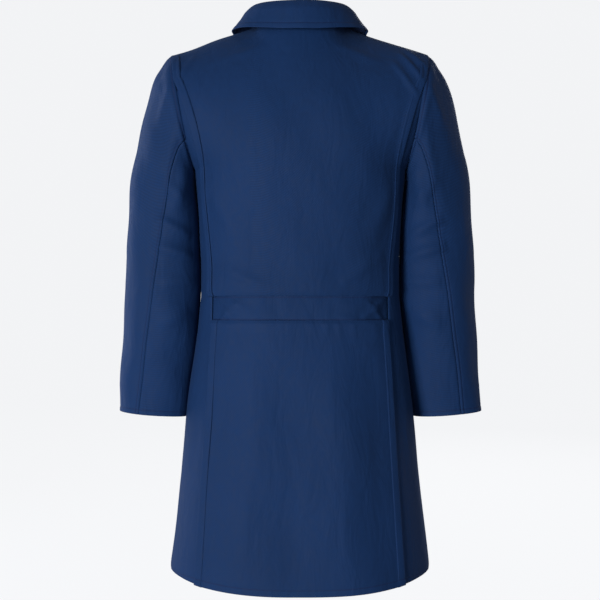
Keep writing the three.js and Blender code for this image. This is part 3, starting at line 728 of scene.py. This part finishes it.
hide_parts("hanger_loop")

# ---- Fronts ----------------------------------------------------------------------------------------
# Each front is one panel from shoulder to hem. The left laps over the right, and the lower corner of
# each turns open on a slanting fold; two points across that fold line are worked out from model.json.

FRONT_OVERLAP = 18
FRONT_RISE = 30
FRONT_FACING = 26
FRONT_STITCH = 6
LEFT_FRONT_LIFT = 1.0
RIGHT_FRONT_LIFT = -3.4
FOLD_HALF = 6
COLUMN_LEAN = np.array([0.0, 1.0, 0.0])


def past_centre(x, z):
    return 2 + u_at(x, z)


def front_edge(v):
    z = z_at(np.maximum(v, 1))
    x = FRONT_OVERLAP * ease(ARMPIT_Z - z, 0, FRONT_RISE)
    return np.where(v < 1, 2.0, past_centre(x, z))


def front_side(v):
    """The side seam, set back from the vent's edge where the vent is open."""
    return 1 + (v > V_VENT) * VENT_GAP / QUARTER_HEM


def front_relief(p, s, t):
    creases = fold(p, (120, -330), (60, -450), 16, 2.0) + fold(p, (-120, -330), (-60, -450), 16, 2.0)
    hang = fold(p, (110, -600), (150, -1000), 24, 3.0) + fold(p, (-110, -600), (-150, -1000), 24, 3.0)
    side = 3.2 * ease(np.abs(p[..., 0]) - down_body(p[..., 2], HALF_WIDTHS), -16, 0)
    return creases + hang + np.where(p[..., 0] > 0, side, 0) + drift(p, 80, 1.2, 2.7)


def corner_bend(side):
    """The two points, across the corner's fold line, a little to either side of it."""
    joint = next(j for j in frame["joints"] if j["name"] == f"front_corner_{side}_turn")
    place = np.array(joint["pos_m"])
    away = unit(np.cross(joint["axis"], COLUMN_LEAN))
    away = away * -np.sign(away[2])
    return tuple(place - away * FOLD_HALF * MM), tuple(place + away * FOLD_HALF * MM)


for side, turn, front_lift in (("right", same, RIGHT_FRONT_LIFT), ("left", mirrored, LEFT_FRONT_LIFT)):
    surface = turn(panel(front_side, front_edge, PANEL_TOP, 2))
    front = sew(f"{side}_front_panel", surface, from_axis, turns=(0, FRONT_FACING, 0, HEM_TURN),
                lift=front_lift, relief=front_relief, stitched=(0, FRONT_STITCH, 0, HEM_STITCH))
    finish_cloth(front, [f"front_{side}", f"front_corner_{side}"],
                 body=f"front_flap_{side}", bend=corner_bend(side))

# ---- Pockets ---------------------------------------------------------------------------------------
# Patch pockets of the same twill, pressed in all round and edge-stitched down at the sides and foot.
# The mouth has a deeper hem and stands a little open.

POCKET_FULLNESS = 12
POCKET_LIFT = 3.0
UNDER_RIGHT_FRONT = -4.4            # how far the right front lies below the left one
POCKET_EDGE = 2                     # from the edge to its stitching
POCKET_HEM = 18


def pocket_surface(inner_x, outer_x, top, height):
    def front_at(s, t):
        z = -top - height * t
        return body_form(2 - u_at(lerp(inner_x, outer_x, s), z), v_at(z))

    def surface(s, t):
        slope = front_at(np.clip(s + 0.05, 0, 1), t) - front_at(np.clip(s - 0.05, 0, 1), t)
        outward = points(-slope[..., 1], slope[..., 0], 0) * np.sign(slope[..., :1])
        full = POCKET_FULLNESS * np.sin(math.pi * s) * (1 - t ** 3)
        return front_at(s, t) + unit(outward) * full[..., None]
    return surface


def forwards(p, s, t):
    return np.array([0.0, 1.0, 0.0])


for name, node_name, turn, rest, shape in (
        ("breast_pocket", "chest_pocket", mirrored, "left_front_panel", (48, 153, 285, 130)),
        ("left_hand_pocket", "side_pocket_left", mirrored, "left_front_panel", (78, 172, 600, 180)),
        ("right_hand_pocket", "side_pocket_right", same, "right_front_panel", (78, 172, 600, 180))):
    under = UNDER_RIGHT_FRONT if rest == "right_front_panel" else 0
    patch = sew(name, turn(pocket_surface(*shape)), forwards,
                turns=(EDGE_TURN, EDGE_TURN, POCKET_HEM, EDGE_TURN), lift=under + POCKET_LIFT,
                stitched=(POCKET_EDGE, POCKET_EDGE, POCKET_HEM, POCKET_EDGE),
                relief=lambda p, s, t: drift(p, 40, 0.6, 5.0))
    finish_cloth(patch, [node_name])

# ---- Lapels ----------------------------------------------------------------------------------------
# The turned-back top of each front, widest at the notch below the collar and running to nothing above
# the first snap. They are pressed flat on the chest.

V_BREAK = 0.97
LAPEL_TOP = 0.4
LAPEL_WIDTH = 84
LAPEL_POINT = 0.03
LAPEL_LIFT = 3.0
LAPEL_STITCH = 5


def lapel_surface(s, t):
    v = lerp(LAPEL_TOP, V_BREAK, t)
    width = LAPEL_WIDTH * np.clip((V_BREAK + LAPEL_POINT - v) / (V_BREAK - LAPEL_TOP), LAPEL_POINT, 1)
    reach = np.linalg.norm(body_form(2 - 0.02, v) - body_form(2, v), axis=-1) / 0.02
    return body_form(2 - (s * width + 0.3) / reach, v)


for side, turn, under in (("right", same, UNDER_RIGHT_FRONT), ("left", mirrored, 0)):
    lapel = sew(f"{side}_lapel_facing", turn(lapel_surface), from_axis,
                turns=(EDGE_TURN, EDGE_TURN, EDGE_TURN, 0), lift=LAPEL_LIFT + under,
                stitched=(0, LAPEL_STITCH, LAPEL_STITCH, 0))
    finish_cloth(lapel, [f"lapel_{side}"])

# ---- Collar ----------------------------------------------------------------------------------------
# A stand sewn to the neck seam carries a two-layer fall, which rolls over its top edge and lies down on
# the shoulders. The top layer is turned in round its edge and topstitched.

COLLAR_SIDE = 0.5
COLLAR_END_DROP = 62
COLLAR_END_SHARE = COLLAR_END_DROP / (NECK_POINT_RISE - ARMPIT_Z)
STAND_HEIGHT = 36
STAND_END = 0.98
FALL_END = 0.97
FALL_REACH = (20, 44, 40)
FALL_HEIGHTS = (-14, 2, -COLLAR_END_DROP - 14)
ROLL_SHARE = 0.25
UNDER_COLLAR_LIFT = 1.6
TOP_COLLAR_LIFT = 5.0
COLLAR_TURN = 8
COLLAR_STITCH = 9
STAND_LIFT = -0.6


def neck_seam(w):
    """The neck seam from one end (-1), over the back (0), to the other end (1)."""
    a = np.abs(w)
    p = np.where((a < COLLAR_SIDE)[..., None], neck_back(np.clip(a / COLLAR_SIDE, 0, 1)),
                 neckline(np.clip((a - COLLAR_SIDE) / (1 - COLLAR_SIDE), 0, 1) * COLLAR_END_SHARE))
    p[..., 0] *= np.where(w < 0, -1, 1)
    return p


def away_from_neck(w):
    p = neck_seam(w)
    return unit(points(p[..., 0] / NECK_HALF_WIDTH, p[..., 1] / NECK_BACK_DEPTH, 0))


def stand_top(w):
    seam = neck_seam(w)
    a = np.abs(w)
    rise = STAND_HEIGHT * lerp(1, 0.45, ease(a, COLLAR_SIDE, 1))
    lean = lerp(4, 2, ease(a, COLLAR_SIDE - 0.04, COLLAR_SIDE + 0.04))
    return seam + away_from_neck(w) * lean[..., None] + points(0, 0, rise - seam[..., 2] * 0.4)


def fall_edge(w):
    a = np.abs(w)
    side, front = ease(a, 0.05, COLLAR_SIDE), ease(a, COLLAR_SIDE, 1)
    back_reach, side_reach, front_reach = FALL_REACH
    back_z, side_z, front_z = FALL_HEIGHTS
    reach = lerp(lerp(back_reach, side_reach, side), front_reach, front)
    edge = neck_seam(w) + away_from_neck(w) * reach[..., None]
    edge[..., 2] = lerp(lerp(back_z, side_z, side), front_z, front)
    return edge


def fall(w, t, lift):
    """The fall at w along the neck, from the top of the stand (t = 0) over the roll to its outer edge (1)."""
    foot, edge, out = stand_top(w), fall_edge(w), away_from_neck(w)
    up = np.array([0.0, 0.0, 1.0])
    crest = foot + out * 5 + up * 3
    roll_end = foot + (edge - foot) * 0.3 + out * 5
    q = np.clip(t / ROLL_SHARE, 0, 1)[..., None]
    rolled = foot * (1 - q) ** 2 + crest * 2 * q * (1 - q) + roll_end * q ** 2
    r = np.clip((t - ROLL_SHARE) / (1 - ROLL_SHARE), 0, 1)[..., None]
    p = np.where((t < ROLL_SHARE)[..., None], rolled, roll_end + (edge - roll_end) * r)
    raised = lift * np.clip(t / ROLL_SHARE, 0, 1)
    return p + out * raised[..., None] + up * (lift * np.clip(1 - 2 * t, 0, None))[..., None]


def stand_surface(s, t):
    w = lerp(-STAND_END, STAND_END, s)
    foot = neck_seam(w) + np.array([0.0, 0.0, 1.2])
    return foot + (stand_top(w) - foot) * t[..., None]


def fall_surface(lift, start, end):
    return lambda s, t: fall(lerp(-FALL_END, FALL_END, s), lerp(start, end, t), lift)


def from_neck(p, s, t):
    return points(p[..., 0], p[..., 1], 0)


def over_collar(p, s, t):
    flat = unit(points(p[..., 0], p[..., 1], 0))
    return flat + np.array([0.0, 0.0, 1.0])


def collar_relief(p, s, t):
    return 0.8 * np.exp(-((s - 0.5) / 0.2) ** 2) * np.sin(t * math.pi) + drift(p, 45, 0.5, 0.2)


stand = sew("collar_stand_band", stand_surface, from_neck, lift=STAND_LIFT)
finish_cloth(stand, ["collar_stand"], material=navy_painted_shade)
under_collar = sew("under_collar_layer", fall_surface(UNDER_COLLAR_LIFT, 0.04, 0.97), over_collar)
finish_cloth(under_collar, ["under_collar"], material=navy_painted_shade)
top_collar = sew("top_collar_layer", fall_surface(TOP_COLLAR_LIFT, 0.02, 1), over_collar,
                 turns=(COLLAR_TURN, COLLAR_TURN, 0, COLLAR_TURN), relief=collar_relief,
                 stitched=(COLLAR_STITCH, COLLAR_STITCH, 0, COLLAR_STITCH))
finish_cloth(top_collar, ["top_collar"])

# ---- Sleeves ---------------------------------------------------------------------------------------
# Two-piece sleeves set into the armholes: a top sleeve over the arm and an under sleeve below it, with
# the back seam puckered over the elbow. The cuff is turned up and stitched, with a facing inside.

OUTER_LINE = [(237.45, 0, -45.45), (271, 0, -93), (303, 0, -209), (327, 0, -450), (340, 0, -709)]
UNDERARM_GAP = 3.2
INNER_LINE = [(float(down_body(z, HALF_WIDTHS)) + UNDERARM_GAP, 0, z)
              for z in (-265, -300, -352, -460, -570)]
INNER_LINE += [(213, 0, -719)]
ELBOW_SHARE = 0.75
ELBOW_DEPTH = 62
CUFF_DEPTH = 45
CUFF_FORWARD = 8
BACK_SEAM = (120, 70)
FRONT_SEAM = (-125, -112)
ARMHOLE_TUCK = 4
TUCK_SHARE = 0.025
CUFF_TURN = 16
CUFF_STITCH = 8
SEAM_STITCH = 6
ARMHOLE_STITCH = 7
CUFF_FACING = (0.95, 0.997)
CUFF_FACING_LIFT = -2.2
CUFF_FACING_THICK = 0.5
BEND_SLANT = (217.0, 0, -70.0)      # the way from the body to the arm
SLEEVE_BEND = (0.020, 0.055)        # how far along that way from the shoulder tip the two bend points lie, in metres


def sleeve_form(s, a):
    """The sleeve at s from the armhole (0) to the cuff (1), and at the angle a round it. Its first
    few millimetres are tucked in under the armhole's edge."""
    top, bottom = smooth_line(OUTER_LINE, s), smooth_line(INNER_LINE, s)
    at_armhole = np.where(np.sin(a) < 0, ARMHOLE_FRONT_DEPTH, ARMHOLE_BACK_DEPTH)
    depth = np.where(s < ELBOW_SHARE, lerp(at_armhole, ELBOW_DEPTH, ease(s, 0, ELBOW_SHARE)),
                     lerp(ELBOW_DEPTH, CUFF_DEPTH, ease(s, ELBOW_SHARE, 1)))
    p = top + (bottom - top) * ((1 - np.cos(a)) / 2)[..., None]
    tuck = ease(s, 0.02, 0)
    p[..., 0] -= ARMHOLE_TUCK * tuck
    p[..., 1] = -depth * np.sin(a) * (1 - TUCK_SHARE * tuck) + CUFF_FORWARD * ease(s, 0.4, 1)
    return p


def sleeve_panel(start, end, low=0.0, high=1.0):
    """A part of the sleeve between two seams, each given by its angles at the armhole and the cuff."""
    def surface(s, t):
        along = lerp(low, high, t)
        return sleeve_form(along, np.radians(lerp(lerp(*start, along), lerp(*end, along), s)))
    return surface


def from_arm(low, high):
    def outward(p, s, t):
        along = lerp(low, high, t)
        return p - (smooth_line(OUTER_LINE, along) + smooth_line(INNER_LINE, along)) / 2
    return outward


def sleeve_relief(side):
    def relief(p, s, t):
        x, z = np.abs(p[..., 0]), p[..., 2]
        q = points(x, p[..., 1], z)
        back = ease(p[..., 1], 25, -15)
        elbow = (fold(q, (200, -385), (262, -352), 9, 3.2) + fold(q, (192, -425), (268, -402), 10, 3.6)
                 + fold(q, (188, -466), (258, -470), 10, 2.6) + fold(q, (204, -520), (262, -548), 12, 2.2)
                 + fold(q, (206, -330), (250, -280), 12, 2.4))
        cap = (fold(q, (238, -62), (262, -110), 7, -1.5) + fold(q, (230, -110), (258, -190), 9, 1.8)
               + fold(q, (222, -180), (244, -290), 11, 2.2) + fold(q, (206, -262), (232, -350), 10, 2.0))
        pull = fold(q, (300, -230), (318, -420), 18, 2.0) + fold(q, (318, -470), (330, -660), 14, -1.6)
        full = 2.5 * np.exp(-((t - 0.07) / 0.06) ** 2)
        full = full + 1.4 * ease(x - down_body(z, HALF_WIDTHS), 14, UNDERARM_GAP) * ease(z, -690, -620)
        phase = 1.3 if side == "left" else 4.1
        return 1.8 * (elbow + cap) * back + 1.5 * pull + full + drift(p, 46, 2.4, phase)
    return relief


def other_arm(outward):
    """The outward direction of the right sleeve, for the mirrored left one."""
    return lambda p, s, t: outward(p * [-1, 1, 1], s, t) * [-1, 1, 1]


def pucker(edge_side, height):
    """Small uneven ripples along a seam that is eased over the elbow."""
    def relief(p, s, t):
        z = p[..., 2]
        gap = (1 - s if edge_side == "end" else s) * 150
        where = np.exp(-(gap / 11) ** 2) * ease(z, -520, -480) * ease(z, -310, -350)
        ripple = np.sin(z * 2 * math.pi / 19 + 1.8 * np.sin(z / 31)) * (0.7 + 0.3 * np.sin(z / 23))
        return height * ripple * where
    return relief


for side, sign, turn, turn_out, eased in (("right", 1, same, same, 1.3),
                                          ("left", -1, mirrored, other_arm, 0.5)):
    shoulder = (SHOULDER_TIP * [sign, 1, 1] + [0, BODY_CENTRE_Y, 0]) * MM
    out = unit(np.array(BEND_SLANT) * [sign, 1, 1])
    bend = [tuple(shoulder + out * distance) for distance in SLEEVE_BEND]
    folds = sleeve_relief(side)
    whole_turn = tuple(a + 360 for a in FRONT_SEAM)
    for name, start, end, ripple, seam_stitch in (
            ("top_sleeve", FRONT_SEAM, BACK_SEAM, pucker("end", eased), SEAM_STITCH),
            ("under_sleeve", BACK_SEAM, whole_turn, pucker("start", eased), 0)):
        relief = lambda p, s, t, ripple=ripple, folds=folds: folds(p, s, t) + ripple(p, s, t)
        sleeve = sew(f"{name}_panel_{side}", turn(sleeve_panel(start, end)), turn_out(from_arm(0, 1)),
                     turns=(0, 0, 0, CUFF_TURN), relief=relief,
                     stitched=(0, seam_stitch, ARMHOLE_STITCH, CUFF_STITCH))
        finish_cloth(sleeve, [f"{name}_{side}"],
                     body=f"sleeve_{side}", bend=bend)
    ring = turn(sleeve_panel((-180, -180), (180, 180), *CUFF_FACING))
    facing = sew(f"cuff_facing_ring_{side}", ring, turn_out(from_arm(*CUFF_FACING)), lift=CUFF_FACING_LIFT,
                 thickness=CUFF_FACING_THICK)
    finish_cloth(facing, [f"cuff_facing_{side}"], body=f"sleeve_{side}",
                 material=navy_painted_shade)

# ---- Snaps -----------------------------------------------------------------------------------------
# Five press snaps close the front. The sockets have pressed brass caps enamelled navy, which look smooth
# and a little worn at the rim; the studs are nickel-plated brass, bright with fine scratches.


def pressed_metal(name, colour, worn, metallic, rough):
    material = bpy.data.materials.new(name)
    material.use_nodes = True
    tree = material.node_tree
    shader = tree.nodes["Principled BSDF"]
    place = node(tree, "ShaderNodeTexCoord").outputs["Object"]
    marks = node(tree, "ShaderNodeTexNoise", {"Vector": place}, Scale=900.0, Detail=4.0).outputs["Fac"]
    edge = node(tree, "ShaderNodeNewGeometry").outputs["Pointiness"]
    wear = node(tree, "ShaderNodeMapRange", {"Value": edge}, From_Min=0.5, From_Max=0.62).outputs[0]
    mix = node(tree, "ShaderNodeMix", {0: wear}, data_type="RGBA")
    mix.inputs[6].default_value = linear(colour)
    mix.inputs[7].default_value = linear(worn)
    tree.links.new(mix.outputs[2], shader.inputs["Base Color"])
    gloss = node(tree, "ShaderNodeMapRange", {"Value": marks}, To_Min=rough * 0.7,
                 To_Max=rough * 1.3).outputs[0]
    tree.links.new(gloss, shader.inputs["Roughness"])
    bump = node(tree, "ShaderNodeBump", {"Height": marks}, Strength=0.15, Distance=0.1 * MM)
    tree.links.new(bump.outputs["Normal"], shader.inputs["Normal"])
    shader.inputs["Metallic"].default_value = metallic
    return material


cap_enamel = pressed_metal("navy enamelled snap cap", "#1b2c4e", "#5a6b8c", 0.0, 0.3)
plated = pressed_metal("nickel-plated brass", "#b9bcc0", "#d8dadd", 1.0, 0.28)
for number in range(1, 6):
    for kind, metal in (("socket", cap_enamel), ("stud", plated)):
        snap = bpy.data.objects[f"snap_{kind}_{number}"]
        for holder in snap.material_slots:
            holder.material = metal

# ---- Room and camera -------------------------------------------------------------------------------
# A pale, evenly lit seamless backdrop that curves up all round, one soft main light from the left with
# weaker ones round the coat, and a level camera facing the coat's back.

FLOOR_Z = -1.16
WALL_AWAY = 6.0
WALL_TOP = 5.0
SWEEP = 2.0
BACKDROP_STEPS = 96
FOCAL = 57.4
CAMERA_PLACE = (0.0, -1.738, -0.502)
PALE = "#f3f4f6"
COOL = "#dfe8ff"

bm = bmesh.new()
profile = [(0, FLOOR_Z), (WALL_AWAY - SWEEP, FLOOR_Z)]
profile += [(WALL_AWAY - SWEEP + SWEEP * math.sin(a), FLOOR_Z + SWEEP * (1 - math.cos(a)))
            for a in np.linspace(0.1, math.pi / 2, 14)]
profile += [(WALL_AWAY, WALL_TOP)]
foot = [bm.verts.new((x, 0, z)) for x, z in profile]
edges = [bm.edges.new(pair) for pair in zip(foot, foot[1:])]
bmesh.ops.spin(bm, geom=foot + edges, cent=(0, 0, 0), axis=(0, 0, 1), angle=2 * math.pi,
               steps=BACKDROP_STEPS, use_merge=True)
bmesh.ops.remove_doubles(bm, verts=bm.verts, dist=1e-5)
bmesh.ops.recalc_face_normals(bm, faces=bm.faces)
mesh = bpy.data.meshes.new("backdrop")
bm.to_mesh(mesh)
bm.free()
mesh.polygons.foreach_set("use_smooth", np.ones(len(mesh.polygons), bool))
backdrop = bpy.data.objects.new("backdrop", mesh)
bpy.context.scene.collection.objects.link(backdrop)
backdrop.visible_diffuse = False
backdrop.visible_glossy = False
backdrop.visible_shadow = False
paper = bpy.data.materials.new("matt backdrop paper")
paper.use_nodes = True
sheet_paper = paper.node_tree.nodes["Principled BSDF"]
sheet_paper.inputs["Base Color"].default_value = linear("#080808")
sheet_paper.inputs["Roughness"].default_value = 1.0
sheet_paper.inputs["Emission Color"].default_value = linear(PALE)
sheet_paper.inputs["Emission Strength"].default_value = 0.99
backdrop.data.materials.append(paper)


def soft_light(name, place, target, size, power, tint="#ffffff"):
    lamp = bpy.data.lights.new(name, "AREA")
    lamp.shape = "RECTANGLE"
    lamp.size, lamp.size_y = size
    lamp.energy = power
    lamp.color = linear(tint)[:3]
    holder = bpy.data.objects.new(name, lamp)
    holder.location = place
    holder.rotation_euler = (Vector(target) - Vector(place)).to_track_quat("-Z", "Y").to_euler()
    bpy.context.scene.collection.objects.link(holder)


soft_light("key", (-1.5, -2.3, -0.6), (0, 0, -0.5), (0.9, 1.3), 72)
soft_light("fill", (0.9, -2.8, -0.7), (0, 0, -0.5), (1.4, 1.6), 13)
soft_light("front", (0.9, 2.6, 0.5), (0, 0, -0.45), (1.2, 1.6), 50)
soft_light("left edge", (-1.5, 0.75, -0.3), (-0.25, 0.05, -0.5), (0.5, 1.8), 18, COOL)
soft_light("right edge", (1.5, 0.75, -0.3), (0.25, 0.05, -0.5), (0.5, 1.8), 5, COOL)
soft_light("top", (0, 0.2, 2.4), (0, 0, -0.5), (1.6, 1.6), 4)

world = bpy.data.worlds.new("studio")
world.use_nodes = True
world.node_tree.nodes["Background"].inputs["Color"].default_value = linear("#eef1f6")
world.node_tree.nodes["Background"].inputs["Strength"].default_value = 0.12
bpy.context.scene.world = world
bpy.context.scene.view_settings.view_transform = "Standard"

camera_data = bpy.data.cameras.new("camera")
camera_data.lens = FOCAL
camera_data.clip_end = 50
camera = bpy.data.objects.new("camera", camera_data)
camera.location = CAMERA_PLACE
camera.rotation_euler = (math.pi / 2, 0, 0)
bpy.context.scene.collection.objects.link(camera)
bpy.context.scene.camera = camera
